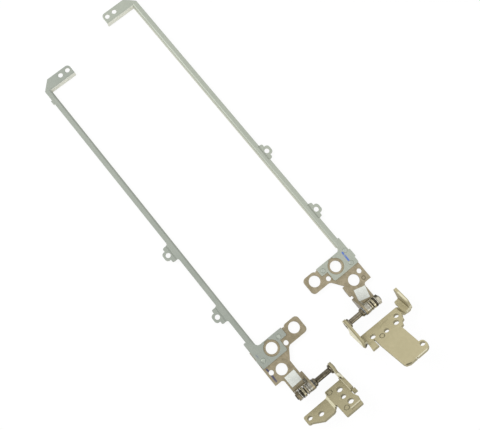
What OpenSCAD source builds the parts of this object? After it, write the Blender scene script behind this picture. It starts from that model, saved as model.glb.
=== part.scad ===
// Pair of screen hinges from a portable computer, left and right hand.
// Each hinge has a long rail that runs up the side of the screen, a bronze
// bracket with an upright ear, a friction pack on a shaft, and a folded
// bracket that is screwed to the base of the computer.
// The pair lies with the rails flat on a table and the base brackets raised.

/* [Pair] */
// Distance between the main screen holes of the two hinges
pair_gap = 61.8; // [56:0.1:90]
// How far the right hinge is set along the rails
pair_shift = 13.4; // [0:0.1:30]

/* [Rail] */
// Thickness of the rail sheet
rail_t = 0.8; // [0.6:0.1:1.2]
// Width of the rail strip
rail_w = 3.8; // [3.2:0.1:5]
// Height of the turned down lip and of the rail above the table
lip_h = 4; // [3.4:0.1:6]
// Outer radius of the lip bend
lip_r = 1.3; // [1:0.1:1.6]
// Outer edge of the left rail, measured from the main hole
rail_out_left = 10.1; // [9.6:0.1:11]
// Outer edge of the right rail, measured from the main hole
rail_out_right = 11.7; // [11:0.1:12.2]
// Distance from the main hole to the two foot holes
foot_hole_y = 218.7; // [180:0.1:260]
// Distance between the foot holes
foot_pitch = 5.5; // [4.6:0.1:7]
// Position of the inner foot hole across the rail
foot_hole_x = 4.25; // [3.5:0.05:5]
// Diameter of the foot holes
foot_hole_d = 3.2; // [2:0.1:3.4]
// Depth of the foot along the rail
foot_d = 7.5; // [6.5:0.1:9]
// Corner cut at the outer end of the foot
foot_cut = 6; // [4:0.1:6.5]

/* [Rail tabs] */
// Distance from the main hole to the near tab
tab_near_y = 34.8; // [30:0.1:50]
// Distance between the two tabs
tab_pitch = 48.4; // [30:0.1:60]
// Tab hole distance outside the main hole
tab_x = 13.8; // [13.5:0.1:15]
// Diameter of the tab holes
tab_hole_d = 3.2; // [2.4:0.1:3.4]
// Distance from the tab hole to the outer end of the tab
tab_r = 3; // [2.6:0.1:3.4]
// Half width of the tab where it leaves the rail
tab_half = 5.4; // [4.6:0.1:6]
// How far the tabs are set down below the rail
tab_drop = 1; // [0.6:0.1:1.6]

/* [Screen bracket] */
// Thickness of the bracket sheet
bracket_t = 1.5; // [1.2:0.1:1.8]
// Diameter of the three large holes
big_hole_d = 7.2; // [6:0.1:7.6]
// Diameter of the two small holes
small_hole_d = 3.1; // [2.4:0.1:3.4]
// Clearance hole in the rail plate round the main hole
clear_hole_d = 10.2; // [9:0.1:10.6]
// Main hole to arm hole on the left hinge
arm_left = 18.3; // [17.5:0.1:22]
// Main hole to arm hole on the right hinge
arm_right = 16; // [15.4:0.1:22]
// Width of the leg
leg_w = 10.3; // [9:0.1:10.6]
// Radius of the rivet shanks
rivet_r = 1; // [0.8:0.1:1.3]
// Radius of the rivet heads
rivet_head_r = 1.5; // [1.3:0.1:1.8]

/* [Shaft and friction pack] */
// Distance from the main hole to the shaft axis along the rail
axis_y = 31.15; // [30.8:0.05:34]
// Height of the shaft axis above the bracket face
axis_h = 6; // [5.4:0.1:8]
// Diameter of the shaft through the pack
shaft_d = 3.6; // [3:0.1:4]
// Width across the flats of the shaft
shaft_flat = 2.8; // [2.4:0.1:2.9]
// Diameter of the shaft neck
neck_d = 3.4; // [3:0.1:4]
// Length of the left shaft neck
neck_left = 9.5; // [6:0.1:12]
// Length of the right shaft neck
neck_right = 7.7; // [6:0.1:12]
// Diameter of the washers
washer_d = 6.4; // [5.8:0.1:7]
// Diameter of the shaft collar
collar_d = 5.4; // [4.6:0.1:6]
// Thickness of the shaft collar
collar_t = 1.4; // [1:0.1:2]
// Diameter of the shaft shoulder at the base bracket
shoulder_d = 6; // [5:0.1:6.4]
// Thickness of the shaft shoulder
shoulder_t = 1; // [0.8:0.1:1.6]
// Length of the cones at collar and shoulder
cone_t = 0.7; // [0.4:0.1:1]
// Thickness of the hex nut
nut_t = 2.1; // [1.6:0.1:3]
// Width across the flats of the nut
nut_af = 5.5; // [5:0.1:6]
// Thickness of the lock washer
lock_t = 0.8; // [0.5:0.1:1.2]
// Thickness of one disc spring
disc_t = 0.35; // [0.25:0.05:0.5]
// Cone height of one disc spring
disc_rise = 0.2; // [0.1:0.05:0.4]
// Thickness of the pressure washer
press_t = 1.7; // [0.8:0.1:2]
// Thickness of the spacer ring
spacer_t = 0.5; // [0.4:0.1:1]
// Thickness of the wear washer
wear_t = 1.2; // [0.6:0.1:1.6]
// Thickness of the cam washer
cam_t = 1.5; // [0.8:0.1:1.8]
// Thickness of the stop plate
stop_t = 1.6; // [1:0.1:2]
// Thickness of the collar washer
collar_washer_t = 0.7; // [0.5:0.1:1.2]
// Radial clearance where the shaft turns
run_clear = 0.05; // [0.02:0.01:0.1]
// Radial clearance of the keyed washers
key_clear = 0.04; // [0.02:0.01:0.1]

/* [Base brackets] */
// Thickness of the base bracket sheet
base_t = 1.9; // [1.4:0.1:2]
// Tilt of the left base bracket in the picture
tilt_left = 44; // [0:1:60]
// Tilt of the right base bracket in the picture
tilt_right = 44; // [0:1:60]
// Distance of the left plate face below the shaft axis
drop_left = 7.4; // [7:0.1:10]
// Distance of the right plate face below the shaft axis
drop_right = 9; // [8:0.1:11]
// Distance from shaft axis to the front edge of the left plate
front_left = 4.2; // [4:0.1:7]
// Distance from shaft axis to the front edge of the right plate
front_right = 5.6; // [5:0.1:7]
// Depth of the left plate
plate_left_d = 22.8; // [20:0.1:26]
// Depth of the right plate
plate_right_d = 37.4; // [36:0.1:46]
// Diameter of the large screw holes in the base brackets
base_hole_d = 3.8; // [3:0.1:4.2]
// Diameter of the small screw holes in the base brackets
base_small_d = 3.2; // [2.6:0.1:3.4]
// Radius of the ear round the shaft end
base_ear_r = 3.5; // [3.2:0.1:4.2]
// How far the side leg of the left bracket is set down
leg_step = 1.6; // [1:0.1:2.4]
// Height of the side wall of the right bracket hook
hook_h = 12; // [9:0.1:14]
// How far the side walls of the base brackets stand outside the ear discs
wall_step = 0.8; // [0.5:0.1:1.2]
// Inner bend radius at the side wall of the left bracket
bend_left = 1; // [0.6:0.1:1.4]
// Inner bend radius at the side wall of the right bracket
bend_right = 1.8; // [1.2:0.1:2.6]

/* [Label] */
// Side of the square label
label_s = 7.6; // [6:0.1:8]
// Thickness of the label
label_t = 0.1; // [0.08:0.01:0.2]

/* [Hidden] */
$fn = 48;
eps = 0.01;

// Zinc, bronze, pale gold and steel colours
c_zinc = [0.64, 0.67, 0.61];
c_bronze = [0.60, 0.54, 0.40];
c_gold = [0.72, 0.68, 0.50];
c_dark = [0.36, 0.33, 0.27];
c_silver = [0.68, 0.67, 0.61];

// Levels, counted from the upper face of the screen bracket
face_z = lip_h - rail_t;
floor_z = -face_z;

// Where the slope of a tab starts, just inside the screw hole
tab_head = -tab_x + tab_hole_d / 2 + 1.5;

// Rail plate and bracket outline
plate_top = 6.1;
plate_low = -6.7;
step_y = 12.4;
plate_out_left = 11.9;
plate_out_right = 12.7;
small_arm_left = 8.75;
small_arm_right = 8.3;
small_arm_y = -3;
notch_left = 12.4;
notch_right = 11.1;
lobe_x = 12.3;
lobe_y = -18.7;
leg_out = 6.4;
leg_in = leg_w - leg_out;
leg_end = -28.6;
leg_round = 1.1;
leg_hole_x = -3.2;
leg_hole_y = -13.35;
lobe_hole_x = -9.35;
lobe_hole_y = -11.1;
rivets_left = [[-8.6, -2.6], [7.5, 2.7]];
rivets_right = [[-10.6, 4], [-8.7, -4.2], [7.9, 2.7]];

// Places along the shaft, from the ear outwards to both ends
ear_a = leg_in;
ear_b = ear_a + bracket_t;
x_stop = ear_a - stop_t;
x_cam = x_stop - cam_t;
x_wear = x_cam - wear_t;
x_spacer = x_wear - spacer_t;
x_press = x_spacer - press_t;
x_disc = x_press - 2 * (disc_t + disc_rise);
x_lock = x_disc - lock_t;
x_nut = x_lock - nut_t;
x_end = x_nut - 0.6;
x_collar = ear_b + collar_washer_t;
x_neck = x_collar + collar_t + cone_t;

// The pair stands centred on its bounding box
foot_top = foot_hole_y + 3;
top_y = pair_shift + foot_top;
low_y = min(-axis_y - base_low(front_left, plate_left_d, drop_left, tilt_left),
    pair_shift - axis_y - base_low(front_right, plate_right_d, drop_right, tilt_right));
home_y = -(top_y + low_y) / 2;
hook_out = 18.6;
home_x = (tab_x + tab_r - hook_out) / 2;

function base_low(front, depth, drop, tilt) =
    (front + depth) * cos(tilt) + (drop + base_t) * sin(tilt);
function x_shoulder(neck) = x_neck + neck;
function x_base(neck) = x_shoulder(neck) + cone_t + shoulder_t;

// Puts a hinge drawn round its main hole in its place on the table
module on_side(right) {
    translate([home_x + (right ? pair_gap / 2 : -pair_gap / 2), home_y + (right ? pair_shift : 0), face_z])
        mirror([right ? 1 : 0, 0, 0])
            children();
}

// Places what turns with the shaft, drawn round the axis with +X along it
module on_shaft(right) {
    on_side(right)
        translate([0, -axis_y, axis_h])
            rotate([right ? -tilt_right : -tilt_left, 0, 0])
                children();
}

// Flat bar with rounded ends of its corners
module round_rect(x0, y0, x1, y1, r) {
    translate([x0 + r, y0]) square([x1 - x0 - 2 * r, y1 - y0]);
    translate([x0, y0 + r]) square([x1 - x0, y1 - y0 - 2 * r]);
    for (x = [x0 + r, x1 - r], y = [y0 + r, y1 - r])
        translate([x, y]) circle(r);
}

// Inner fillet of radius r in the corner at the origin, open towards +X and +Y
module inner_fillet(r) {
    difference() {
        translate([-eps, -eps]) square(r + eps);
        translate([r, r]) circle(r);
    }
}

// Solid of revolution along X between two stations
module turned(x0, x1, d0, d1) {
    translate([x0, 0, 0])
        rotate([0, 90, 0])
            cylinder(h = x1 - x0, d1 = d0, d2 = d1);
}

// Sheet profile with a lip turned down, along the y direction of the drawing
module lip_profile(w, h, t, r) {
    translate([0, -t]) square([w - r, t]);
    translate([w - t, -h]) square([t, h - r]);
    translate([w - r, -r])
        intersection() {
            difference() {
                circle(r);
                circle(r - t);
            }
            square(r);
        }
}

// Outline of the rail plate and of the rail above it
module rail_outline(right) {
    out = right ? rail_out_right : rail_out_left;
    plate_out = right ? plate_out_right : plate_out_left;
    notch = right ? notch_right : notch_left;
    tongue_x = right ? small_arm_right : small_arm_left;
    in = rail_w - out;
    difference() {
        union() {
            round_rect(-plate_out, plate_low, in - lip_r, step_y, 0.7);
            translate([-out + rail_t, step_y - 2])
                square([rail_w - lip_r - rail_t, 2 + eps]);
            translate([-out, step_y - 2]) square([rail_w - lip_r, foot_top - step_y - foot_cut + 2]);
            round_rect(-plate_out, plate_low, tongue_x - 1.9, plate_top, 1.2);
            round_rect(-2, 0.4, notch - 0.4, plate_top, 0.8);
            translate([in - lip_r - eps, plate_low + 2]) square([lip_r + 1, plate_top - plate_low - 2]);
            translate([in, plate_top]) inner_fillet(2.2);
            translate([in - lip_r - eps, 0]) square([lip_r + eps, plate_top + 2.4]);
            if (right)
                round_rect(-plate_out - 0.9, -2.8, -2, 3, 0.4);
            else
                round_rect(-plate_out - 0.4, -3.6, -2, 0.4, 0.3);
        }
        circle(d = clear_hole_d);
        translate([-1.7, 0]) square([3.4, clear_hole_d / 2 + 0.45]);
        translate([tongue_x, small_arm_y]) circle(small_hole_d / 2 + 0.5);
        for (p = right ? rivets_right : rivets_left)
            translate(p) circle(rivet_r);
    }
}

// Plan of one screw tab: shoulders beside the rail and rounded end
module tab_outline(out) {
    round_rect(-tab_x - tab_r, -tab_r - 0.1, -tab_x + 2.2, tab_r + 0.1, 2);
    round_rect(-tab_x - 0.3, -tab_half, -out + 1.6, tab_half, 1);
    for (k = [0, 1])
        mirror([0, k])
            translate([-out, tab_half])
                mirror([1, 0]) inner_fillet(1.2);
}

// One screw tab: the sheet slopes down from the rail to the ring
module rail_tab(out, y) {
    foot = tab_head - 1.1;
    end = -tab_x - tab_r - 1;
    translate([0, y, 0])
        difference() {
            intersection() {
                translate([0, 0, -tab_drop - 1])
                    linear_extrude(tab_drop + rail_t + 2) tab_outline(out);
                translate([0, tab_half + 2, 0])
                    rotate([90, 0, 0])
                        linear_extrude(2 * tab_half + 4)
                            polygon([[-out + 1.6, 0], [-out + 1.6, rail_t], [tab_head, rail_t], [foot, rail_t - tab_drop],
                                [end, rail_t - tab_drop], [end, -tab_drop], [foot, -tab_drop], [tab_head, 0]]);
            }
            translate([-tab_x, 0, -tab_drop - 1]) cylinder(h = 4, d = tab_hole_d);
        }
}

// Foot at the far end, with its own lip towards the hinge
module rail_foot(out) {
    far_x = foot_hole_x + foot_pitch + 2.8;
    low = foot_top - foot_d;
    difference() {
        linear_extrude(rail_t)
            union() {
                polygon([[-out, low - 3], [-out, foot_top - foot_cut], [-out + foot_cut, foot_top],
                    [far_x - 2.4, foot_top], [far_x - 2.4, low + lip_r], [rail_w - out - lip_r, low + lip_r],
                    [rail_w - out - lip_r, low - 3]]);
                translate([far_x - 2.4 - eps, low + lip_r]) square([2.4 + eps, foot_d - lip_r - 2.4]);
                translate([far_x - 2.4, foot_top - 2.4]) circle(2.4);
            }
        for (x = [foot_hole_x, foot_hole_x + foot_pitch])
            translate([x, foot_hole_y, -1]) cylinder(h = 3, d = foot_hole_d);
    }
    translate([rail_w - out - lip_r, low + lip_r + eps, rail_t])
        rotate([90, 0, 90])
            linear_extrude(far_x - rail_w + out + lip_r)
                mirror([1, 0])
                    lip_profile(lip_r + eps, lip_h, rail_t, lip_r);
}

module rail(right) {
    out = right ? rail_out_right : rail_out_left;
    in = rail_w - out;
    lip_low = plate_top + 2.4;
    lip_top = foot_top - foot_d + lip_r;
    color(c_zinc)
        on_side(right) {
            linear_extrude(rail_t)
                difference() {
                    rail_outline(right);
                    for (k = [0, 1])
                        translate([-out - 1, tab_near_y + k * tab_pitch - tab_half])
                            square([max(tab_head + out + 1, 0.1), 2 * tab_half]);
                }
            for (k = [0, 1])
                rail_tab(out, tab_near_y + k * tab_pitch);
            rail_foot(out);
            translate([in - lip_r - eps, lip_top, rail_t])
                rotate([90, 0, 0])
                    linear_extrude(lip_top - lip_low)
                        lip_profile(lip_r + eps, lip_h, rail_t, lip_r);
            if (!right)
                translate([-out - 0.8, foot_hole_y - 13.4, 0])
                    cube([1.4, 3, rail_t]);
        }
}

// Flat outline of the screen bracket
module bracket_outline(right) {
    arm = right ? arm_right : arm_left;
    notch = right ? notch_right : notch_left;
    tip = arm + 5.8;
    difference() {
        union() {
            translate([-lobe_x, lobe_y]) square([lobe_x + leg_in, plate_top - 0.1 - lobe_y]);
            translate([0, -5.4]) square([notch + 1, plate_top - 0.8 + 5.4]);
            translate([0, 0]) square([notch - 0.4, plate_top - 0.1]);
            round_rect(notch + 0.8, -5.4, tip, plate_top + 0.1, 2.6);
            translate([notch + 0.8, -5.4]) square([4, 4]);
            polygon([[leg_in - 1, -13.4], [leg_in, -12.4], [leg_in + 0.8, -11.4], [8.4, -6.2],
                [9.8, -5.4], [9.8, 0], [0, 0]]);
            translate([-leg_out, leg_end]) square([leg_w, lobe_y - leg_end + eps]);
            translate([-leg_out, lobe_y]) rotate(180) inner_fillet(1.8);
        }
        circle(d = big_hole_d);
        translate([arm, 1]) circle(d = big_hole_d);
        translate([leg_hole_x, leg_hole_y]) circle(d = big_hole_d);
        translate([right ? small_arm_right : small_arm_left, small_arm_y]) circle(d = small_hole_d);
        translate([lobe_hole_x, lobe_hole_y]) circle(d = small_hole_d);
        for (p = right ? rivets_right : rivets_left)
            translate(p) circle(rivet_r);
    }
}

// Side view of the ear: ramp from the leg up to the disc round the shaft
module ear_side() {
    difference() {
        union() {
            translate([-axis_y, axis_h]) circle(d = washer_d);
            polygon([[-21.6, -bracket_t], [-21.6, 0.3], [-axis_y + 2.1, axis_h + 2.4], [-axis_y, axis_h],
                [-axis_y - 1.6, axis_h - 2.7], [-axis_y + 1.2, floor_z + 0.8], [leg_end + 1, floor_z],
                [-22.4, floor_z]]);
        }
        translate([-axis_y, axis_h]) circle(d = shaft_d + 2 * run_clear);
    }
}

module bracket(right) {
    color(c_bronze)
        on_side(right) {
            difference() {
                translate([0, 0, -bracket_t])
                    linear_extrude(bracket_t) bracket_outline(right);
                // Rounded upper edge at the end of the leg
                translate([-leg_out - 1, leg_end, -leg_round])
                    rotate([90, 0, 90])
                        linear_extrude(leg_w - 0.5)
                            difference() {
                                translate([-1, 0]) square([leg_round + 1, leg_round + 1]);
                                translate([leg_round, 0]) circle(leg_round);
                                translate([leg_round, -1]) square([2, leg_round + 1]);
                            }
            }
            translate([ear_a, 0, 0])
                rotate([90, 0, 90])
                    linear_extrude(bracket_t) ear_side();
            translate([ear_a - 1, leg_end, -bracket_t])
                cube([1 + eps, -21.6 - leg_end, bracket_t]);
            if (right)
                translate([ear_a - 0.3, 0, 0])
                    rotate([90, 0, 90])
                        linear_extrude(1.7)
                            polygon([[-12.6, -0.3], [-19.6, -0.3], [-20, -1.4], [-19.2, floor_z],
                                [-15.2, floor_z], [-12.6, -1.2]]);
        }
}

module rivets(right) {
    color(c_zinc)
        on_side(right)
            for (p = right ? rivets_right : rivets_left)
                translate([p[0], p[1], 0]) {
                    translate([0, 0, -bracket_t]) cylinder(h = bracket_t + rail_t, r = rivet_r);
                    translate([0, 0, rail_t]) cylinder(h = 0.25, r1 = rivet_head_r, r2 = rivet_head_r - 0.3);
                    translate([0, 0, -bracket_t - 0.25]) cylinder(h = 0.25, r1 = rivet_head_r - 0.3, r2 = rivet_head_r);
                }
}

module label(right) {
    color([0.84, 0.86, 0.84])
        on_side(right)
            translate([right ? -1.6 : -1.4, lobe_y - (right ? 4 : 3.1), 0])
                rotate(right ? 15.5 : 1)
                    translate([-label_s / 2, -label_s / 2, 0])
                        cube([label_s, label_s, label_t]);
}

// Keyed hole or shaft section: a circle with two flats
module keyed(clear) {
    intersection() {
        circle(d = shaft_d + 2 * clear);
        square([shaft_flat + 2 * clear, shaft_d + 1], center = true);
    }
}

module along_x(x, h) {
    translate([x, 0, 0])
        rotate([90, 0, 90])
            linear_extrude(h) children();
}

module shaft(right) {
    neck = right ? neck_right : neck_left;
    xs = x_shoulder(neck);
    xb = x_base(neck);
    color(c_dark)
        on_shaft(right) {
            along_x(x_end, x_collar - x_end + eps) keyed(0);
            turned(x_collar, x_collar + collar_t, collar_d, collar_d);
            turned(x_collar + collar_t - eps, x_neck, collar_d, neck_d);
            turned(x_neck - eps, xs + eps, neck_d, neck_d);
            turned(xs, xs + cone_t + eps, neck_d, shoulder_d);
            turned(xs + cone_t, xb, shoulder_d, shoulder_d);
            along_x(xb - eps, base_t + 2 * eps) keyed(0);
            turned(xb + base_t, xb + base_t + 0.4, shaft_d + 0.6, shaft_d - 0.2);
        }
}

// Round washer with a keyed hole
module washer(x, h, d) {
    along_x(x, h)
        difference() {
            circle(d = d);
            keyed(key_clear);
        }
}

module nut(right) {
    color(c_dark)
        on_shaft(right)
            along_x(x_nut, nut_t)
                difference() {
                    rotate(15) circle(d = nut_af / cos(30), $fn = 6);
                    keyed(key_clear);
                }
}

module lock_washer(right) {
    color(c_silver)
        on_shaft(right)
            washer(x_lock, lock_t, washer_d - 0.5);
}

// Two disc springs set rim to rim
module spring_discs(right) {
    bore = shaft_d + 2 * key_clear;
    color([0.28, 0.26, 0.21])
        on_shaft(right)
            for (k = [0, 1])
                translate([x_disc + 2 * k * (disc_t + disc_rise), 0, 0])
                    mirror([k, 0, 0])
                        rotate([0, 90, 0])
                            rotate_extrude()
                                polygon([[bore / 2, 0], [washer_d / 2, disc_rise],
                                    [washer_d / 2, disc_rise + disc_t], [bore / 2, disc_t]]);
}

module pressure_washer(right) {
    color(c_gold)
        on_shaft(right)
            washer(x_press, press_t, washer_d - 0.1);
}

module spacer(right) {
    color(c_dark)
        on_shaft(right)
            washer(x_spacer, spacer_t, washer_d - 1.2);
}

module wear_washer(right) {
    color(c_bronze)
        on_shaft(right)
            washer(x_wear, wear_t, washer_d);
}

module cam_washer(right) {
    color(c_silver)
        on_shaft(right)
            washer(x_cam, cam_t, washer_d - 0.3);
}

// Stop plate: its lug rests on the end of the leg, so it cannot turn
module stop_plate(right) {
    color(c_silver)
        on_side(right)
            difference() {
                union() {
                    translate([x_stop, -axis_y, axis_h]) turned(0, stop_t, washer_d, washer_d);
                    along_x(x_stop, stop_t)
                        polygon([[-axis_y - 1, axis_h - 2.6], [-axis_y + 2.6, axis_h - 1],
                            [leg_end + 3, 1.3], [leg_end + 3, 0], [leg_end, 0]]);
                }
                translate([x_stop - 1, -axis_y, axis_h])
                    turned(0, stop_t + 2, shaft_d + 2 * run_clear, shaft_d + 2 * run_clear);
            }
}

module collar_washer(right) {
    color(c_silver)
        on_shaft(right)
            washer(ear_b, collar_washer_t, washer_d - 0.4);
}

// Maps a drawing of the plate, front edge at y = 0, to its place below the axis
module on_plate(front, drop) {
    translate([0, -front, -drop - base_t])
        mirror([0, 1, 0])
            children();
}

// Round pressed groove in the upper face of a plate
module ring_groove(x, s, r) {
    translate([x, s, base_t - 0.25])
        difference() {
            cylinder(h = 1, r = r);
            translate([0, 0, -1]) cylinder(h = 3, r = r - 0.45);
        }
}

// Ear of a base bracket: side wall bent up from the plate, a small step and the
// disc on the shaft end. The children give the shape seen from the side.
module base_ear(xb, front, drop, bend, reach) {
    xw = xb + wall_step;
    r = bend + base_t;
    level = r - drop - base_t;
    difference() {
        intersection() {
            union() {
                translate([0, base_ear_r + 1, 0])
                    rotate([90, 0, 0])
                        linear_extrude(front + reach + base_ear_r + 1)
                            polygon([[xb, base_ear_r + 1], [xb, level + 1.5], [xw, level + 0.2], [xw, level - eps],
                                [xw + base_t, level - eps], [xw + base_t, level + 0.5],
                                [xb + base_t, level + 1.8], [xb + base_t, base_ear_r + 1]]);
                translate([xw - bend, -1, level])
                    rotate([90, 0, 0])
                        linear_extrude(front + reach - 1)
                            intersection() {
                                difference() {
                                    circle(r);
                                    circle(bend);
                                }
                                translate([0, -r]) square(r);
                            }
            }
            children();
        }
        along_x(xb - 1, base_t + 2) keyed(key_clear);
    }
}

module left_base() {
    xb = x_base(neck_left);
    bend_x = xb + wall_step - bend_left;
    front = front_left;
    drop = drop_left;
    reach = 10.9;
    color(c_gold)
        on_shaft(false) {
            // Main plate with its screw holes, side leg and fold between them
            on_plate(front, drop) {
                difference() {
                    linear_extrude(base_t)
                        polygon([[8, 0], [bend_x + eps, 0], [bend_x + eps, reach], [bend_x + 0.4, 12.2],
                            [bend_x + 0.4, 14.1], [bend_x + 1.6, 17.4], [bend_x + 1, 19.7],
                            [bend_x + 0.9, plate_left_d - 0.5], [bend_x + 0.5, plate_left_d],
                            [8.5, plate_left_d], [8, plate_left_d - 0.6], [8, 12.6], [7.4, 11.6], [7.4, 1.1]]);
                    for (p = [[15.3, 5.3], [15.6, 16.4]])
                        translate([p[0], p[1], -1]) cylinder(h = 4, d = base_hole_d);
                    translate([14.3, 10.8, -1]) cylinder(h = 4, d = base_small_d);
                    ring_groove(9.8, 2.4, 1.9);
                    ring_groove(11.4, 18.3, 1.8);
                    translate([13, plate_left_d - 1.9, base_t - 0.3]) cube([9, 3, 1]);
                }
                translate([0, 12.6, 0])
                    rotate([90, 0, 0])
                        linear_extrude(9.9)
                            polygon([[7.4 + eps, 0], [7.4 + eps, base_t], [7.2, base_t], [5.8, base_t - leg_step],
                                [5.4, -leg_step], [5.8, -leg_step]]);
                difference() {
                    translate([0, 0, -leg_step])
                        linear_extrude(base_t)
                            union() {
                                polygon([[5.9, 2.7], [-9.6, 2.7], [-9.6, 9.3], [-2.9, 14], [4.2, 14], [5.9, 13.1]]);
                                round_rect(-11.5, 2.7, -6.2, 9.3, 1.5);
                            }
                    translate([-1.8, 8.8, -5]) cylinder(h = 9, d = base_hole_d - 0.2);
                    translate([-8.4, 6, -5]) cylinder(h = 9, d = base_small_d);
                }
            }
            base_ear(xb, front, drop, bend_left, reach) union() {
                turned(xb - 1, xb + base_t + 1, 2 * base_ear_r, 2 * base_ear_r);
                along_x(bend_x - 1, bend_left + base_t + 2)
                    polygon([[2.6, -2.3], [0, 0], [-3.2, 1.4], [-front - 0.9, -drop + 1.8],
                        [-front - reach, -drop + 1.8], [-front - reach, -drop - base_t],
                        [-front, -drop - base_t], [-2.2, -drop + 1]]);
            }
            // Small curl behind the end of the side wall
            along_x(xb + wall_step, base_t + 0.7)
                polygon([[-front - reach + 0.1, -drop - 0.3], [-front - reach - 0.6, -drop - 1.2],
                    [-front - reach - 2, -drop - 0.9], [-front - reach - 2.3, -drop - 2.2],
                    [-front - reach - 1.6, -drop - 2.9], [-front - reach + 0.1, -drop - base_t]]);
        }
}

// Hook of the right base bracket: slope, floor and outer wall bent up from it
module base_hook() {
    r = base_t + 0.9;
    translate([0, 6.4, 0])
        rotate([90, 0, 0])
            linear_extrude(6.1)
                polygon([[-10.4, 0], [-10.4, base_t], [-11.2, base_t], [-12.9, base_t - leg_step],
                    [-12.9, -leg_step], [-12.2, -leg_step], [-10.7, 0]]);
    translate([0, 0, -leg_step])
        intersection() {
            translate([-hook_out, 7, 0])
                rotate([90, 0, 0])
                    linear_extrude(13)
                        union() {
                            translate([r - eps, 0]) square([hook_out - r - 12.7, base_t]);
                            translate([0, r - eps]) square([base_t, hook_h]);
                            translate([r, r])
                                intersection() {
                                    difference() {
                                        circle(r);
                                        circle(r - base_t);
                                    }
                                    translate([-r, -r]) square(r);
                                }
                        }
            union() {
                translate([0, 0, -1])
                    linear_extrude(base_t + 1.5)
                        union() {
                            round_rect(-hook_out + 1, -5.1, -13.3, 6.7, 1.2);
                            translate([-14.6, 0.3]) square([1.8, 6.1]);
                        }
                translate([-hook_out - 1, 0, 0])
                    rotate([90, 0, 90])
                        linear_extrude(r + 1.2)
                            polygon([[-5.1, -1], [5.6, -1], [6.7, 1.4], [5.4, hook_h - 4], [-3.9, hook_h],
                                [-5.1, hook_h - 1.1]]);
            }
        }
}

module right_base() {
    xb = x_base(neck_right);
    bend_x = xb + wall_step - bend_right;
    front = front_right;
    drop = drop_right;
    d = plate_right_d;
    reach = 8.7;
    color(c_gold)
        on_shaft(true) {
            on_plate(front, drop) {
                // Long plate with round end lug and saw teeth beside the hook
                difference() {
                    linear_extrude(base_t)
                        union() {
                            polygon([[-10.5, 0.3], [bend_x + eps, 0], [bend_x + eps, 6.4], [bend_x - 0.3, 8], [12, 8],
                                [12.1, 14], [11.3, d - 2.9], [10.6, d - 1.1], [8.2, d], [3.4, d], [3.2, d - 0.5],
                                [2.8, d - 0.5], [2.6, d], [-3.5, d], [-4.6, d - 8.1], [-4.6, 13.8], [-6.6, 13.2],
                                [-7.5, 10.9], [-9.3, 10.3], [-9.6, 8], [-10.5, 7.6]]);
                            translate([-3.5, d - 3.8]) circle(3.8);
                            translate([-4.9, d - 5.2]) circle(2.4);
                        }
                    for (p = [[-4.45, 9], [11.4, 5.9]])
                        translate([p[0], p[1], -1]) cylinder(h = 4, d = base_hole_d - 0.2);
                    for (p = [[-7.5, 5.2], [3.1, 9], [-5, d - 4.9]])
                        translate([p[0], p[1], -1]) cylinder(h = 4, d = base_small_d);
                    ring_groove(7.2, 10, 1.7);
                }
                // Tongue beside the plate, set a little lower
                translate([0, 0, -0.3])
                    linear_extrude(base_t)
                        polygon([[12.5, 7.3], [bend_x - 0.3, 7.3], [bend_x + 0.7, 13], [bend_x + 0.4, 13.3], [12.7, 13.3]]);
                base_hook();
            }
            base_ear(xb, front, drop, bend_right, reach) difference() {
                union() {
                    turned(xb - 1, xb + base_t + 1, 2 * base_ear_r, 2 * base_ear_r);
                    along_x(bend_x - 1, bend_right + base_t + 2)
                        polygon([[2.4, -2.5], [0, 0], [-1.6, 3.1], [-front - reach, -drop + 2.3],
                            [-front - reach, -drop - base_t], [-front, -drop - base_t], [-1.4, -drop + 1.6]]);
                }
                // Relief between the tongue and the end of the side wall
                translate([0, -front, -drop - 3])
                    linear_extrude(8)
                        polygon([[bend_x - 2, -6.4], [bend_x, -6.4], [bend_x + 2.7, -reach - 0.1],
                            [bend_x - 2, -reach - 0.1]]);
            }
        }
}

rail(false);  // left_rail
rail(true);  // right_rail
bracket(false);  // left_bracket
bracket(true);  // right_bracket
rivets(false);  // left_rivets
rivets(true);  // right_rivets
label(false);  // left_label
label(true);  // right_label
shaft(false);  // left_shaft
shaft(true);  // right_shaft
nut(false);  // left_nut
nut(true);  // right_nut
lock_washer(false);  // left_lock_washer
lock_washer(true);  // right_lock_washer
spring_discs(false);  // left_spring_discs
spring_discs(true);  // right_spring_discs
pressure_washer(false);  // left_pressure_washer
pressure_washer(true);  // right_pressure_washer
spacer(false);  // left_spacer
spacer(true);  // right_spacer
wear_washer(false);  // left_wear_washer
wear_washer(true);  // right_wear_washer
cam_washer(false);  // left_cam_washer
cam_washer(true);  // right_cam_washer
stop_plate(false);  // left_stop_plate
stop_plate(true);  // right_stop_plate
collar_washer(false);  // left_collar_washer
collar_washer(true);  // right_collar_washer
left_base();  // left_base_bracket
right_base();  // right_base_bracket
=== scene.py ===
import math

import bmesh
import bpy
from mathutils import Matrix, Vector


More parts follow.
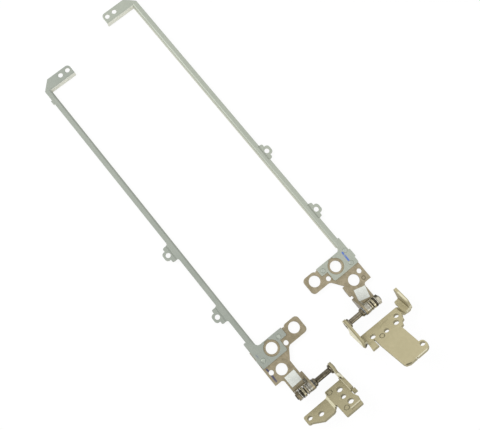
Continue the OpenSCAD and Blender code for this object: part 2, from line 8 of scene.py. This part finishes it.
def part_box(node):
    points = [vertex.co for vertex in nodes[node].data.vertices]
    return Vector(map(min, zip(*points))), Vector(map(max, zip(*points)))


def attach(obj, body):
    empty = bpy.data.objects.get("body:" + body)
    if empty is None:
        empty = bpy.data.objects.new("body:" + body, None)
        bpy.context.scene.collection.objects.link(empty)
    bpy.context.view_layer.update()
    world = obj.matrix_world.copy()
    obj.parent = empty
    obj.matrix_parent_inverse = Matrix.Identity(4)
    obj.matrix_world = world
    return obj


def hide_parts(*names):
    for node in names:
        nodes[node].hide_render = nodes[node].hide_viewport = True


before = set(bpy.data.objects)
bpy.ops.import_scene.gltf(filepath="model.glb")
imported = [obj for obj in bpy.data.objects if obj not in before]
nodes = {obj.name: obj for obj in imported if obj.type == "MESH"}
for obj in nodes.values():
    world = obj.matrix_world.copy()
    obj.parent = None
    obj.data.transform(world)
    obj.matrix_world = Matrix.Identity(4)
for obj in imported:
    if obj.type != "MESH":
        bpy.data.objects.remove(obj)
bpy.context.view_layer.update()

# Camera: almost straight above the pair, with the rails turned 39 degrees, so that
# the feet lie at the picture's top left and the base brackets at its lower right.
turn = math.radians(39.0)
lean = math.radians(11.127)
aim = Vector((0.0046, -0.01394, 0.0032))
camera_distance = 0.4679
picture_width, focal_pixels = 480, 754.72
picture_right = Vector((math.cos(turn), -math.sin(turn), 0))
picture_up = Vector((math.sin(turn), math.cos(turn), 0))
back = picture_up * -math.sin(lean) + Vector((0, 0, math.cos(lean)))
camera = bpy.data.objects.new("camera", bpy.data.cameras.new("camera"))
camera.matrix_world = Matrix((picture_right, back.cross(picture_right), back)).transposed().to_4x4()
camera.location = aim + back * camera_distance
camera.data.sensor_width = 36
camera.data.lens = camera.data.sensor_width * focal_pixels / picture_width
camera.data.clip_start = 0.01
bpy.context.collection.objects.link(camera)
bpy.context.scene.camera = camera


# Rails: one long strip of galvanised steel per hinge, pressed to an angle with its
# foot, screw tabs and plate. The zinc is satin, slightly green and cloudy, darker on
# the left hinge as painted shade, with a painted sheen and painted highlight on the lip. A stroke
# of blue pen marks each plate.
class Sock:
    """An output socket that reads as a number in formulas."""

    def __init__(self, owner, out):
        self.owner, self.out = owner, out

    def _math(self, operation, *values):
        return self.owner.node("ShaderNodeMath", {"operation": operation}, *values)

    def __add__(self, other):
        return self._math("ADD", self, other)

    def __radd__(self, other):
        return self._math("ADD", other, self)

    def __sub__(self, other):
        return self._math("SUBTRACT", self, other)

    def __rsub__(self, other):
        return self._math("SUBTRACT", other, self)

    def __mul__(self, other):
        return self._math("MULTIPLY", self, other)

    def __rmul__(self, other):
        return self._math("MULTIPLY", other, self)

    def __abs__(self):
        return self._math("ABSOLUTE", self)

    def least(self, other):
        return self._math("MINIMUM", self, other)

    def most(self, other):
        return self._math("MAXIMUM", self, other)

    def ramp(self, start, stop, low=0.0, high=1.0):
        return self.owner.node("ShaderNodeMapRange", {"interpolation_type": "SMOOTHSTEP"},
                               self, start, stop, low, high)

    def mix(self, first, second):
        return self.owner.node("ShaderNodeMix", {"data_type": "RGBA"},
                               Factor_Float=self, A_Color=first, B_Color=second)


class Nodes:
    """A tree of shader nodes that is built by formulas."""

    def __init__(self, tree):
        self.tree = tree

    def node(self, kind, settings, *values, output=None, **named):
        made = self.tree.nodes.new(kind)
        for key, value in settings.items():
            setattr(made, key, value)
        pairs = list(zip(made.inputs, values))
        for key, value in named.items():
            called = (s for s in made.inputs if key in (s.identifier, s.name))
            pairs.append((next(called), value))
        for socket, value in pairs:
            if isinstance(value, Sock):
                self.tree.links.new(value.out, socket)
            elif socket.type == "RGBA":
                socket.default_value = (*value, 1.0)
            else:
                socket.default_value = value
        if output:
            return Sock(self, made.outputs[output])
        return Sock(self, next(s for s in made.outputs if s.enabled))

    def vector(self, operation, *values, **named):
        a_number = operation in ("DOT_PRODUCT", "DISTANCE")
        return self.node("ShaderNodeVectorMath", {"operation": operation}, *values,
                         output="Value" if a_number else "Vector", **named)


class Finish(Nodes):
    """One material, for one piece or for two like ones."""

    def __init__(self, name, metallic=1.0):
        self.material = bpy.data.materials.new(name)
        self.material.use_nodes = True
        super().__init__(self.material.node_tree)
        self.shader = self.tree.nodes["Principled BSDF"]
        self.shader.inputs["Metallic"].default_value = metallic
        self.place = self.node("ShaderNodeTexCoord", {}, output="Object")

    def grain(self, per_metre, detail=3.0, stretch=(1.0, 1.0, 1.0), turned=0.0):
        place = self.node("ShaderNodeMapping", {}, Vector=self.place,
                          Rotation=(0.0, 0.0, turned), Scale=stretch)
        return self.node("ShaderNodeTexNoise", {}, Vector=place, Scale=per_metre,
                         Detail=detail, output="Fac")

    def axis(self, letter):
        return self.node("ShaderNodeSeparateXYZ", {}, self.place, output=letter)

    def facing(self, direction):
        normal = self.node("ShaderNodeTexCoord", {}, output="Normal")
        return self.vector("DOT_PRODUCT", normal, direction)

    def from_line(self, start, end, place=None):
        """How far each place is from a straight line between two points."""
        line = end - start
        offset = self.vector("SUBTRACT", place or self.place, start)
        along = self.vector("DOT_PRODUCT", offset, line) * (1.0 / line.length_squared)
        foot = self.vector("SCALE", line, Scale=along.most(0.0).least(1.0))
        return self.vector("DISTANCE", offset, foot)

    def rounded(self, radius):
        """Shades the edges round, which the bump then lies on, and says where they are."""
        self.soft = self.node("ShaderNodeBevel", {"samples": 6}, Radius=radius)
        flat = self.node("ShaderNodeNewGeometry", {}, output="True Normal")
        return 1.0 - self.vector("DOT_PRODUCT", self.soft, flat)

    def put(self, name, value):
        self.tree.links.new(value.out, self.shader.inputs[name])

    def bump(self, height, strength, distance):
        self.put("Normal", self.node("ShaderNodeBump", {}, Strength=strength, Distance=distance,
                                     Height=height, Normal=self.soft))

    def cover(self, *names):
        for name in names:
            nodes[name].data.materials.clear()
            nodes[name].data.materials.append(self.material)


def toned(colour, factor, lift=0.0):
    """A colour made darker or lighter, and lifted towards white."""
    return tuple(min(1.0, factor * c + lift) for c in colour)


class PlatedSheet(Finish):
    """Plated sheet steel, coloured layer by layer over the clouds of its plating."""

    def __init__(self, name, dark, light, up=(0.0, 0.0, 1.0), contrast=1.0, metal=0.85):
        super().__init__(name)
        self.dark, self.light, self.contrast = dark, light, contrast
        self.mottle = self.grain(420, 4)
        self.fine = self.grain(2600, 2)
        clouds = 0.35 * self.grain(70) + 0.4 * self.mottle + 0.25 * self.fine
        spread = 0.12 / contrast
        self.colour = clouds.ramp(0.5 - spread, 0.5 + spread).mix(dark, light)
        self.side = (1.0 - abs(self.facing(up))).ramp(0.35, 0.8)
        self.put("Metallic", self.side.ramp(0.0, 1.0, metal, 0.45 * metal))

    def lay(self, mask, shade):
        self.colour = mask.mix(self.colour, shade)

    # Darkens the side faces: dark cut edges, and painted shade in the hole walls.
    def darken_sides(self, cut):
        self.lay(self.side * (1.0 - 0.35 * self.mottle), toned(self.dark, cut))

    def wear(self, edge_brightening=0.6):
        """Paints the rounded edges bright, as rubbed plating and as painted highlight, and adds
        short scuffs and dark specks.
        """
        bright = toned(self.light, 1.45, 0.03)
        edge_wear_and_highlight = self.rounded(0.35 * mm).ramp(0.02, 0.2)
        self.lay(edge_wear_and_highlight * self.mottle.ramp(0.2, 0.6, 0.4, 1.0) * edge_brightening, bright)
        scuffs = self.grain(900, 2, stretch=(1.0, 0.08, 1.0), turned=0.6).ramp(0.62, 0.74)
        self.lay(0.2 * self.contrast * scuffs, bright)
        specks = self.grain(1700, 1).ramp(0.70, 0.78)
        self.lay(0.4 * self.contrast * specks, toned(self.dark, 0.5))

    def close(self, rough, *names):
        """Takes the layers as they are for the colour, and covers the named nodes."""
        self.put("Base Color", self.colour)
        satin = 0.5 * self.mottle + 0.5 * self.fine
        self.put("Roughness", satin.ramp(0.3, 0.7, rough - 0.07, rough + 0.09))
        self.bump(0.6 * self.mottle + 0.4 * self.fine, strength=0.18, distance=0.04 * mm)
        self.cover(*names)


mm = 0.001


def place_on(side, piece, inward, along, height=0.0):
    """A place in mm from the outer near corner of a piece's box."""
    low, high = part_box(side + "_" + piece)
    x = low[0] + inward * mm if side == "left" else high[0] - inward * mm
    return Vector((x, low[1] + along * mm, height * mm))


def pen_stroke(sheet, shade, width, start, end):
    """A soft stroke of ink on the upper face of a sheet."""
    from_above = sheet.vector("MULTIPLY", sheet.place, (1.0, 1.0, 0.0))
    away = sheet.from_line(start, end, from_above)
    wet = (1.0 - away.ramp(0.22 * width, 0.65 * width)) * sheet.mottle.ramp(0.3, 0.55, 0.25, 0.85)
    sheet.lay(wet * sheet.facing((0.0, 0.0, 1.0)).ramp(0.7, 0.9), shade)


# The left hinge's zinc is darker than the right's, as painted shade.
zinc_tones = {"left": ((0.262, 0.286, 0.25), (0.315, 0.337, 0.296)),
              "right": ((0.335, 0.36, 0.305), (0.39, 0.415, 0.355))}
painted_lip_sheen, lit_lip = (0.52, 0.52, 0.42), (0.78, 0.78, 0.69)
pen_blue = {"left": (0.08, 0.10, 0.22), "right": (0.05, 0.13, 0.50)}
pen_width = {"left": 0.6 * mm, "right": 1.3 * mm}
pen_ends = {"left": ((6.8, 9.3), (7.0, 7.1)), "right": ((8.3, 10.5), (8.4, 4.7))}
for side in ("left", "right"):
    zinc = PlatedSheet("galvanised_steel_" + side, *zinc_tones[side], contrast=0.45, metal=0.6)
    # Painted sheen on the side faces, and a painted highlight on the faces that look towards -Y.
    zinc.lay(zinc.side * 0.7, painted_lip_sheen)
    zinc.lay(zinc.facing((0.0, -1.0, 0.0)).ramp(0.3, 0.95) * 0.65, lit_lip)
    zinc.wear(edge_brightening=0.1)
    pen_stroke(zinc, pen_blue[side], pen_width[side],
               *(place_on(side, "rail", *end) for end in pen_ends[side]))
    zinc.close(0.52, side + "_rail")


# Screen brackets: thick steel sheet with a thin bronze passivation, riveted under the
# rail plate. The leg ends in the upright ear that carries the shaft. The left one is darker as
# painted shade and has two strokes of navy pen, and the right one a small pressed ring with painted
# shade in its groove. Their side faces are darkened as cut edges and as painted shade in the hole
# walls.
def pressed_ring(sheet, centre, radius, groove_darkness):
    """Painted shade in the groove round a small pressed stud."""
    off_rim = abs(sheet.vector("DISTANCE", sheet.place, centre) - radius)
    sheet.lay((1.0 - off_rim.ramp(0.14 * mm, 0.4 * mm)) * 0.95, toned(sheet.dark, groove_darkness))


# Side faces darker by this factor: dark cut edges, and painted shade in the hole walls.
bracket_side_shade, bracket_rough = 0.55, 0.38
navy = (0.035, 0.045, 0.13)
# The left bracket is darker than the right, as painted shade.
bronze = PlatedSheet("bronze_steel_left", (0.24, 0.205, 0.132), (0.325, 0.28, 0.19))
bronze.darken_sides(bracket_side_shade)
bronze.wear()
for width, *ends in ((1.2 * mm, (2.0, 26.6), (2.1, 25.1)), (1.4 * mm, (2.2, 21.7), (2.0, 17.7))):
    pen_stroke(bronze, navy, width, *(place_on("left", "bracket", *end) for end in ends))
bronze.close(bracket_rough, "left_bracket")

bronze = PlatedSheet("bronze_steel_right", (0.27, 0.23, 0.15), (0.37, 0.32, 0.22))
bronze.darken_sides(bracket_side_shade)
pressed_ring(bronze, place_on("right", "bracket", 3.6, 18.35, 3.2), 1.1 * mm, groove_darkness=0.62)
bronze.wear()
bronze.close(bracket_rough, "right_bracket")

# Rivets: short zinc plated steel pins, two on the left hinge and three on the right.
# They are peened flat on both sides of the two sheets.
rivet_zinc = PlatedSheet("rivet_zinc", (0.33, 0.36, 0.31), (0.46, 0.49, 0.43))
# Sides darkened: dark cut edges, and painted shade.
rivet_zinc.darken_sides(0.75)
rivet_zinc.wear()
rivet_zinc.close(0.34, "left_rivets", "right_rivets")

# Labels: small blank squares of pale grey coated paper, stuck on the legs, a little
# soiled on their edges.
paper = Finish("grey_label", metallic=0.0)
fibre = paper.grain(1200, 4)
smear = paper.grain(260)
soiled = paper.rounded(0.25 * mm).ramp(0.02, 0.25)
tone = (0.5 * fibre + 0.5 * smear).ramp(0.35, 0.65).mix((0.53, 0.55, 0.51), (0.63, 0.65, 0.61))
paper.put("Base Color", (0.5 * soiled).mix(tone, (0.36, 0.36, 0.33)))
paper.put("Roughness", smear.ramp(0.3, 0.7, 0.42, 0.62))
paper.bump(fibre, strength=0.2, distance=0.03 * mm)
paper.cover("left_label", "right_label")


# Shafts: turned from oiled brown steel, with a collar against the ear, a slim neck,
# a shoulder under the base bracket and a peened end. The far end is threaded. The
# steel of the left hinge is darkened throughout as painted shade.
def oiled_steel(name, dark, light, rough=0.34, stained=0.5, stretch=(1.0, 0.06, 0.06),
                shaded_facet=None):
    """Bare oiled steel with tool lines and stains, its rims painted bright as wear and as painted
    highlight, with painted shade on one facet.
    """
    steel = Finish(name)
    tooled = steel.grain(3200, 2, stretch)
    edge_wear_and_highlight = steel.rounded(0.15 * mm).ramp(0.02, 0.25)
    colour = (0.4 * steel.grain(500) + 0.6 * tooled).ramp(0.36, 0.64).mix(dark, light)
    colour = (0.6 * edge_wear_and_highlight).mix(colour, toned(light, 1.5, 0.05))
    # Painted shade on the facet that faces this way.
    if shaded_facet:
        colour = (steel.facing(shaded_facet).ramp(0.5, 0.85) * 0.9).mix(colour, toned(dark, 0.3))
    stain = steel.grain(750, 4).ramp(0.56, 0.68)
    steel.put("Base Color", (stained * stain).mix(colour, toned(dark, 0.45)))
    steel.put("Roughness", tooled.ramp(0.3, 0.7, rough - 0.08, rough + 0.1))
    steel.bump(tooled, strength=0.2, distance=0.02 * mm)
    return steel


def spun(side, name, stands_for, outline, steel):
    """Spins an outline of (x, radius) points, closed for a ring, about the shaft's axis."""
    low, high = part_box(side + "_" + stands_for)
    middle = Vector((0.0, (low[1] + high[1]) / 2, (low[2] + high[2]) / 2))
    bm = bmesh.new()
    corners = [bm.verts.new((x, radius, 0.0)) for x, radius in outline]
    pairs = list(zip(corners, corners[1:]))
    if outline[0][1] > 0.0:
        pairs.append((corners[-1], corners[0]))
    edges = [bm.edges.new(pair) for pair in pairs]
    bmesh.ops.spin(bm, geom=corners + edges, axis=(1, 0, 0), cent=(0, 0, 0), steps=56,
                   angle=2 * math.pi, use_merge=True)
    bmesh.ops.remove_doubles(bm, verts=bm.verts, dist=1e-7)
    bmesh.ops.recalc_face_normals(bm, faces=bm.faces)
    bmesh.ops.translate(bm, verts=bm.verts, vec=middle)
    mesh = bpy.data.meshes.new(side + "_" + name)
    bm.to_mesh(mesh)
    bm.free()
    mesh.shade_smooth()
    mesh.set_sharp_from_angle(angle=math.radians(28))
    piece = bpy.data.objects.new(side + "_" + name, mesh)
    bpy.context.collection.objects.link(piece)
    mesh.materials.append(steel.material)
    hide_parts(side + "_" + stands_for)
    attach(piece, side + "_base_side")


# The left hinge's colours are darkened by this factor throughout, as painted shade.
painted_shade_by_side = {"left": 0.68, "right": 1.0}
# Radii, and lengths along the shaft, in mm.
core, thread_root, thread_crest, pitch = 1.38, 1.6, 1.8, 0.3
collar, collar_wide, neck, shoulder = 2.7, 1.4, 1.7, 3.0
stub, peened_head, ear_sheet, peened_high, rim = 1.35, 2.1, 1.9, 0.4, 0.15
for side, way in (("left", 1), ("right", -1)):
    brown_steel = oiled_steel("brown_steel_" + side, toned((0.105, 0.09, 0.06), painted_shade_by_side[side]),
                              toned((0.28, 0.25, 0.185), painted_shade_by_side[side]), rough=0.25, stained=0.2,
                              stretch=(0.02, 0.3, 0.3))
    far, near = (0, 1) if side == "left" else (1, 0)
    threaded_end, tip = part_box(side + "_shaft")[far][0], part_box(side + "_shaft")[near][0]
    nut_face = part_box(side + "_nut")[far][0]
    collar_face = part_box(side + "_collar_washer")[near][0]
    ear_front = tip - way * peened_high * mm
    ear_back = ear_front - way * ear_sheet * mm
    thread = [(0.0, 0.0), (0.0, 1.4)]
    for start in (0.05, 0.05 + pitch):
        thread += [(start, thread_root), (start + 0.4 * pitch, thread_crest),
                   (start + 0.8 * pitch, thread_root)]
    stretches = [
        (threaded_end, thread),
        (nut_face, [(0.0, thread_root), (0.3, core)]),
        (collar_face, [(0.0, core), (0.0, collar - rim), (rim, collar), (collar_wide - rim, collar),
                       (collar_wide, 2.6), (1.9, 1.95), (2.2, 1.72), (2.6, neck)]),
        (ear_back, [(-2.1, neck), (-1.7, 1.76), (-1.1, 2.9), (-0.9, shoulder),
                    (-rim, shoulder), (0.0, shoulder - rim), (0.0, stub)]),
        (ear_front, [(0.0, stub), (0.0, peened_head), (rim, 2.05), (2 * rim, 1.8)]),
        (tip, [(0.0, 1.2), (0.0, 0.0)])]
    outline = [(place + way * along * mm, radius * mm)
               for place, steps in stretches for along, radius in steps]
    spun(side, "turned_shaft", "shaft", outline, brown_steel)

# Rings of the friction packs: stamped washers of bare, bronzed and gilded steel, one
# of each on a shaft, with their rims tumbled round. The rings of the left hinge are
# darkened as painted shade, and its collar washer most.
ring_steels = {
    "lock_washer": ((0.50, 0.48, 0.40), (0.68, 0.66, 0.57), 0.26, "steel"),
    "pressure_washer": ((0.36, 0.32, 0.215), (0.52, 0.475, 0.335), 0.28, "gold"),
    "spacer": ((0.06, 0.05, 0.035), (0.12, 0.10, 0.075), 0.36, "dark_steel"),
    "wear_washer": ((0.32, 0.285, 0.195), (0.47, 0.42, 0.30), 0.28, "bronze"),
    "cam_washer": ((0.36, 0.345, 0.29), (0.54, 0.52, 0.45), 0.26, "steel"),
    "collar_washer": ((0.27, 0.285, 0.29), (0.43, 0.45, 0.46), 0.26, "steel"),
}
bore, play, round_off = 1.84 * mm, 0.1 * mm, 0.14 * mm
for ring, (dark, light, rough, slot) in ring_steels.items():
    for side in ("left", "right"):
        ring_painted_shade = painted_shade_by_side[side] * (0.6 if (side, ring) == ("left", "collar_washer") else 1.0)
        steel = oiled_steel(ring + "_steel_" + side, toned(dark, ring_painted_shade), toned(light, ring_painted_shade), rough)
        low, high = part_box(side + "_" + ring)
        outer = (high[1] - low[1]) / 2
        start, stop = low[0] + play, high[0] - play
        outline = [(start, bore), (start, outer - round_off), (start + round_off, outer),
                   (stop - round_off, outer), (stop, outer - round_off), (stop, bore)]
        spun(side, ring + "_rings", ring, outline, steel)

# Disc springs: two thin cones of blackened spring steel on each shaft, set rim to rim
# and pressed nearly flat by the nut.
for side in ("left", "right"):
    # Darker on the left hinge, as painted shade.
    oiled_steel("spring_steel_" + side, toned((0.045, 0.039, 0.027), painted_shade_by_side[side]),
                toned((0.11, 0.095, 0.067), painted_shade_by_side[side]), rough=0.36).cover(side + "_spring_discs")

# Stop plates: stamped from bare steel and greased, each with a lug that rests on the
# leg and keeps it from turning with the shaft.
for side in ("left", "right"):
    # Darker on the left hinge, as painted shade.
    oiled_steel("stop_plate_steel_" + side, toned((0.34, 0.325, 0.27), painted_shade_by_side[side]),
                toned((0.50, 0.48, 0.41), painted_shade_by_side[side]), rough=0.30).cover(side + "_stop_plate")

# Nuts: small steel hexagons with chamfered rims and a sunk face, screwed on and locked.
# The left one is browned, the right one bright with painted shade on one facet.
nut_tones = {"left": ((0.12, 0.10, 0.064), (0.21, 0.18, 0.12)),
             "right": ((0.44, 0.41, 0.33), (0.60, 0.565, 0.46))}
painted_shade_facet = {"left": None, "right": (0.0, 0.87, 0.5)}
nut_turned = {"left": math.radians(-44.0), "right": math.radians(-59.0)}
half_flats, rim_cut = 2.75 * mm, 0.28 * mm
corner_radius = half_flats / math.cos(math.pi / 6)
for side in ("left", "right"):
    nut_steel = oiled_steel("nut_steel_" + side, *nut_tones[side], rough=0.30, stained=0.1,
                            shaded_facet=painted_shade_facet[side])
    low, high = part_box(side + "_nut")
    shaft_low, shaft_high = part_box(side + "_shaft")
    middle = Vector(((low[0] + high[0]) / 2, (shaft_low[1] + shaft_high[1]) / 2,
                     (shaft_low[2] + shaft_high[2]) / 2))
    bm = bmesh.new()
    bmesh.ops.create_cone(bm, cap_ends=True, cap_tris=False, segments=6, radius1=corner_radius,
                          radius2=corner_radius, depth=high[0] - low[0])
    rims = [edge for face in bm.faces if len(face.verts) == 6 for edge in face.edges]
    bmesh.ops.bevel(bm, geom=rims, offset=rim_cut, segments=2, profile=0.5, affect="EDGES",
                    material=-1)
    for border, depth in ((0.7 * mm, 0.0), (0.1 * mm, -0.25 * mm)):
        caps = [face for face in bm.faces if len(face.verts) == 6]
        bmesh.ops.inset_region(bm, faces=caps, thickness=border, depth=depth)
    for angle, axis in ((math.pi / 2, "Y"), (nut_turned[side], "X")):
        bmesh.ops.rotate(bm, verts=bm.verts, cent=(0, 0, 0), matrix=Matrix.Rotation(angle, 3, axis))
    bmesh.ops.translate(bm, verts=bm.verts, vec=middle)
    bmesh.ops.recalc_face_normals(bm, faces=bm.faces)
    mesh = bpy.data.meshes.new(side + "_chamfered_nut")
    bm.to_mesh(mesh)
    bm.free()
    mesh.materials.append(nut_steel.material)
    hexagon = bpy.data.objects.new(side + "_chamfered_nut", mesh)
    bpy.context.collection.objects.link(hexagon)
    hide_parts(side + "_nut")
    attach(hexagon, side + "_base_side")


# Base brackets: folded steel sheet with a pale gold passivation, riveted on the shaft
# ends and screwed to the base of the computer. The left one is darker as painted shade. Edges are
# brightened as wear and as painted highlight.
# Cream lines are painted highlights on bends and corners, dark ones painted shade in the folds,
# notches and hole walls; a few scratches are real.
def ear_edges(sheet, across, along, cut):
    """Darkens the sides away from the ear, partly as painted shade, paints a sheen on the upright
    ear's faces, and on its cut edge lays a darker band and a painted highlight line near its back.

    `across` is measured through the ear from its back, and `along` from its lower end."""
    on_ear = across.ramp(-2.2 * mm, -1.8 * mm) * along.ramp(-0.5 * mm, 0.5 * mm)
    face = abs(sheet.facing((1.0, 0.0, 0.0))).ramp(0.5, 0.9)
    ear_edge = on_ear * (1.0 - face)
    dark_band = across.ramp(1.1 * mm, 1.3 * mm) * (1.0 - 0.6 * across.ramp(1.5 * mm, 1.7 * mm))
    highlight_line = (1.0 - across.ramp(0.2 * mm, 0.5 * mm)) * across.ramp(-0.3 * mm, 0.0)
    sheet.lay(sheet.side * (1.0 - on_ear), toned(sheet.dark, cut))
    # Painted sheen on the ear's faces.
    sheet.lay(on_ear * face * 0.75, (0.72, 0.70, 0.55))
    sheet.lay(ear_edge * 0.4, (0.25, 0.225, 0.13))
    sheet.lay(ear_edge * dark_band * 0.6, (0.16, 0.14, 0.08))
    # Painted highlight line near the ear's back.
    sheet.lay(ear_edge * sheet.side * highlight_line * 0.6, (0.72, 0.69, 0.50))


def mark_line(sheet, shade, radius, strength, start, end):
    """A line or spot of painted highlight, painted shade or scratch, with a ragged rim."""
    ragged = 0.3 * mm * (sheet.mottle - 0.5)
    spot = 1.0 - (sheet.from_line(start, end) + ragged).ramp(0.6 * radius, 1.1 * radius)
    sheet.lay(spot * strength, shade)


def on_bracket(tip, way, inward, down, up):
    """A place in mm from the shaft's tip: inward along the shaft, down the plate, up from it."""
    return tip + mm * (Vector((-way * inward, 0.0, 0.0)) + down * plate_down + up * plate_up)


gold_dark, gold_light = (0.37, 0.33, 0.195), (0.43, 0.385, 0.235)
# Pale marks are painted highlights, dark marks painted shade, except the scratches.
highlight_cream, shadow_dark = (0.80, 0.78, 0.62), (0.05, 0.04, 0.02)
scratch, crease_shade = (0.20, 0.18, 0.10), (0.15, 0.125, 0.06)
lit_joggle, joggle_faces = (0.74, 0.71, 0.52), (-0.75, 0.46, 0.47)
# The left bracket is darkened as painted shade.
gold_painted_shade = {"left": 0.81, "right": 1.02}
# How dark the painted shade in each stud's groove is.
groove_shade = {"left": 0.62, "right": 0.36}
ear_reach = {"left": 9.3 * mm, "right": 17.4 * mm}
plate_tilt = math.radians(44)
plate_up = Vector((0.0, math.sin(plate_tilt), math.cos(plate_tilt)))
plate_down = Vector((0.0, -math.cos(plate_tilt), math.sin(plate_tilt)))
# Each stud: its radius and its centre on the bracket, in mm.
studs = {"left": [(1.7, (11.9, 6.6, -7.4)), (1.6, (10.3, 22.5, -7.4))],
         "right": [(1.5, (12.7, 15.6, -9.0))]}
# Each mark: its colour, its radius in mm, its strength and its two ends on the bracket.
painted_light_and_scratches = {
    "left": [(highlight_cream, 0.9, 0.65, (1.6, 4.2, -2.3), (0.0, 5.3, -5.4)),
             (shadow_dark, 0.8, 0.85, (1.5, 5.0, -5.5), (1.8, 5.5, -5.6)),
             (highlight_cream, 0.5, 0.4, (8.6, 24.7, -7.4), (2.4, 24.6, -7.4)),
             (crease_shade, 0.4, 0.45, (8.6, 25.5, -7.4), (2.5, 25.5, -7.4)),
             (shadow_dark, 0.5, 0.6, (15.1, 16.6, -8.4), (15.2, 18.0, -8.4))],
    "right": [(highlight_cream, 0.8, 0.7, (3.1, 12.2, -8.6), (3.1, 12.2, -9.1)),
              (shadow_dark, 1.2, 0.92, (1.6, 13.5, -9.3), (3.2, 11.9, -11.5)),
              (crease_shade, 0.9, 0.8, (36.6, 2.5, -9.1), (36.6, 6.5, -9.4)),
              (crease_shade, 0.9, 0.8, (36.6, 6.5, -9.4), (36.6, 11.3, -9.5)),
              (crease_shade, 0.8, 0.7, (31.3, 8.2, -9.2), (31.5, 10.5, -9.3)),
              (crease_shade, 0.7, 0.6, (31.5, 10.5, -9.3), (32.2, 11.9, -10.3)),
              (highlight_cream, 0.6, 0.5, (37.3, 4.5, -1.7), (37.6, 11.0, -5.0)),
              (highlight_cream, 0.9, 0.35, (37.9, 12.0, -9.6), (34.4, 12.2, -11.1)),
              (shadow_dark, 0.6, 0.8, (9.9, 42.2, -9.0), (12.4, 43.3, -9.0)),
              (highlight_cream, 0.6, 0.6, (16.4, 43.1, -9.0), (24.6, 43.1, -9.0)),
              (scratch, 0.45, 0.3, (15.6, 9.9, -9.0), (18.3, 8.8, -9.0)),
              (scratch, 0.45, 0.3, (18.3, 8.8, -9.0), (22.3, 8.9, -9.0))],
}
for side, way in (("left", 1), ("right", -1)):
    low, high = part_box(side + "_shaft")
    tip = Vector((high[0] if way > 0 else low[0], (low[1] + high[1]) / 2, (low[2] + high[2]) / 2))
    gold = PlatedSheet("pale_gold_" + side, toned(gold_dark, gold_painted_shade[side]),
                       toned(gold_light, gold_painted_shade[side]), plate_up, contrast=0.5, metal=0.3)
    ear_back = tip.x - way * (peened_high + ear_sheet) * mm
    ear_end = tip.y - ear_reach[side]
    # Sides darkened by this factor: dark cut edges, and painted shade in the hole walls.
    ear_edges(gold, (gold.axis("X") - ear_back) * way, gold.axis("Y") - ear_end, cut=0.82)
    for radius, centre in studs[side]:
        pressed_ring(gold, on_bracket(tip, way, *centre), radius * mm, groove_shade[side])
    if side == "left":
        # Painted highlight on the faces of the left bracket's joggle.
        gold.lay(gold.facing(joggle_faces).ramp(0.9, 0.98) * 0.75, lit_joggle)
    gold.wear(edge_brightening=0.4)
    # Painted highlights, painted shade and scratches along lines on the bracket.
    for shade, radius, strength, *ends in painted_light_and_scratches[side]:
        mark_line(gold, shade, radius * mm, strength, *(on_bracket(tip, way, *end) for end in ends))
    gold.close(0.52, side + "_base_bracket")

# Table: a plain white sheet under the pair, wide enough for any view. It is white to
# the camera and in reflections, and keeps only a faint shadow of the hinges.
table_mesh = bpy.data.meshes.new("table")
table_grid = bmesh.new()
bmesh.ops.create_grid(table_grid, x_segments=1, y_segments=1, size=12)
table_grid.to_mesh(table_mesh)
table_grid.free()
table = bpy.data.objects.new("table", table_mesh)
bpy.context.collection.objects.link(table)
white = Finish("table_white", metallic=0.0)
white.shader.inputs["Roughness"].default_value = 0.9
white.put("Base Color", white.grain(3).mix((0.88, 0.88, 0.88), (0.92, 0.92, 0.92)))
seen_by = ("Is Camera Ray", "Is Glossy Ray", "Is Transmission Ray")
seen, mirrored, refracted = (white.node("ShaderNodeLightPath", {}, output=kind) for kind in seen_by)
glow = white.node("ShaderNodeEmission", {}, Color=(1.0, 1.0, 1.0), Strength=1.0)
glow_share = seen.most(mirrored).most(refracted) * 0.92
matt = Sock(white, white.shader.outputs["BSDF"])
blend = white.node("ShaderNodeMixShader", {}, glow_share, matt, glow)
white.tree.links.new(blend.out, white.tree.nodes["Material Output"].inputs["Surface"])
table.data.materials.append(white.material)

# Light: a soft sky that is brightest at the picture's upper left and dim at its lower
# right, and plain white where the camera or a reflection sees it. Two lamps give the
# gleam on the round parts and lift the faces that look to the lower right.
world = bpy.data.worlds.new("studio")
bpy.context.scene.world = world
world.use_nodes = True
sky = Nodes(world.node_tree)
bright_side = Vector((-0.25, 0.55, 0.8)).normalized()
ray = sky.node("ShaderNodeTexCoord", {}, output="Generated")
strength = sky.vector("DOT_PRODUCT", ray, bright_side).ramp(-0.6, 0.9, 0.40, 1.12)
for kind in seen_by:
    seen = sky.node("ShaderNodeLightPath", {}, output=kind)
    strength = sky.node("ShaderNodeMix", {}, Factor_Float=seen, A_Float=strength, B_Float=1.0)
background = sky.tree.nodes["Background"]
background.inputs["Color"].default_value = (1.0, 1.0, 1.0, 1.0)
sky.tree.links.new(strength.out, background.inputs["Strength"])
for name, energy, place in (("window", 5.0, (-0.5, 0.5, 0.9)), ("panel", 1.2, (0.08, -0.72, 0.42))):
    lamp = bpy.data.objects.new(name, bpy.data.lights.new(name, "AREA"))
    lamp.data.energy, lamp.data.size = energy, 0.5
    lamp.location = place
    lamp.rotation_mode = "QUATERNION"
    lamp.rotation_quaternion = (-lamp.location).to_track_quat("-Z", "Y")
    bpy.context.collection.objects.link(lamp)
bpy.context.scene.view_settings.view_transform = "Standard"
